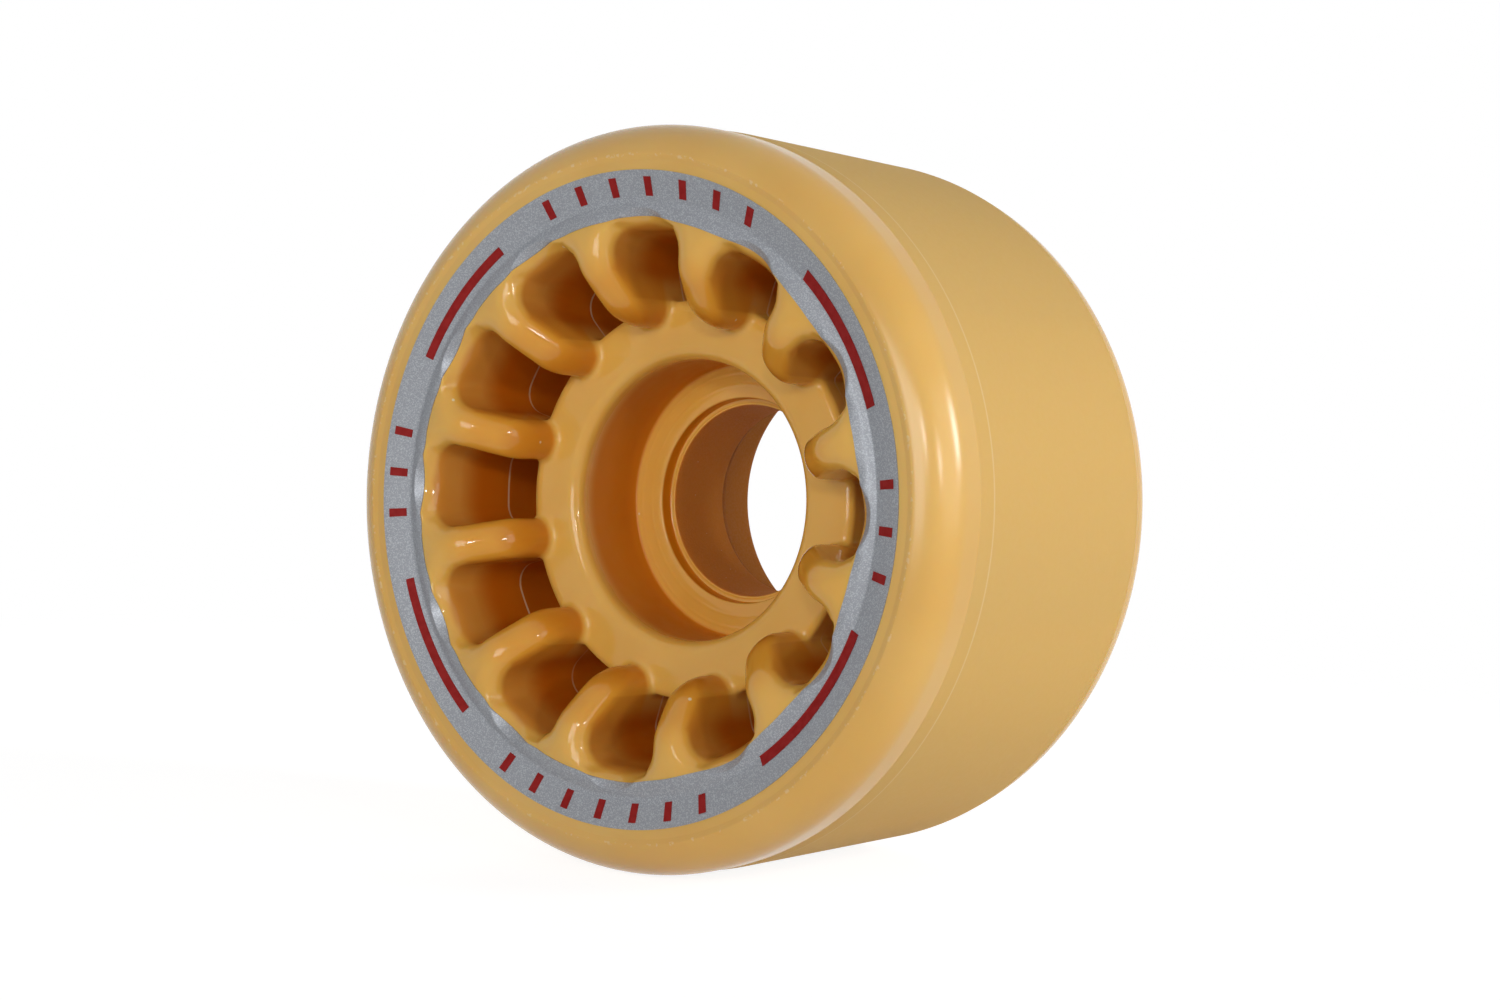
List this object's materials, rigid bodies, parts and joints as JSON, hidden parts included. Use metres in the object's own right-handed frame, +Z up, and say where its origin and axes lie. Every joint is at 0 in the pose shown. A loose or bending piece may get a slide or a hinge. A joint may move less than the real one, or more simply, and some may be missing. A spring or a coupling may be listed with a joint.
{
  "type": "roller skate wheel",
  "caption": "Amber polyurethane quad roller skate wheel: ground tread with rounded shoulders, cast on a ribbed hub with empty bearing seats and a silver printed band on its front face.",
  "frame": {"origin": "centre of the wheel, on its axle line at mid width", "axes": "+Y along the axle towards the rear face, +Z up, the printed front face towards -Y"},
  "size_m": [0.057, 0.032, 0.057],
  "materials": {
    "tyre_pu": "cast amber polyurethane, ground tread and glossy shoulders",
    "hub_pu": "moulded amber polyurethane, glossy",
    "silver_ink": "silver flake ink",
    "red_ink": "opaque red ink"
  },
  "bodies": {
    "root": {"tyre": "tyre_pu", "hub": "hub_pu", "print_ring": "silver_ink", "print_bars": "red_ink", "print_ticks": "red_ink"}
  },
  "joints": []
}
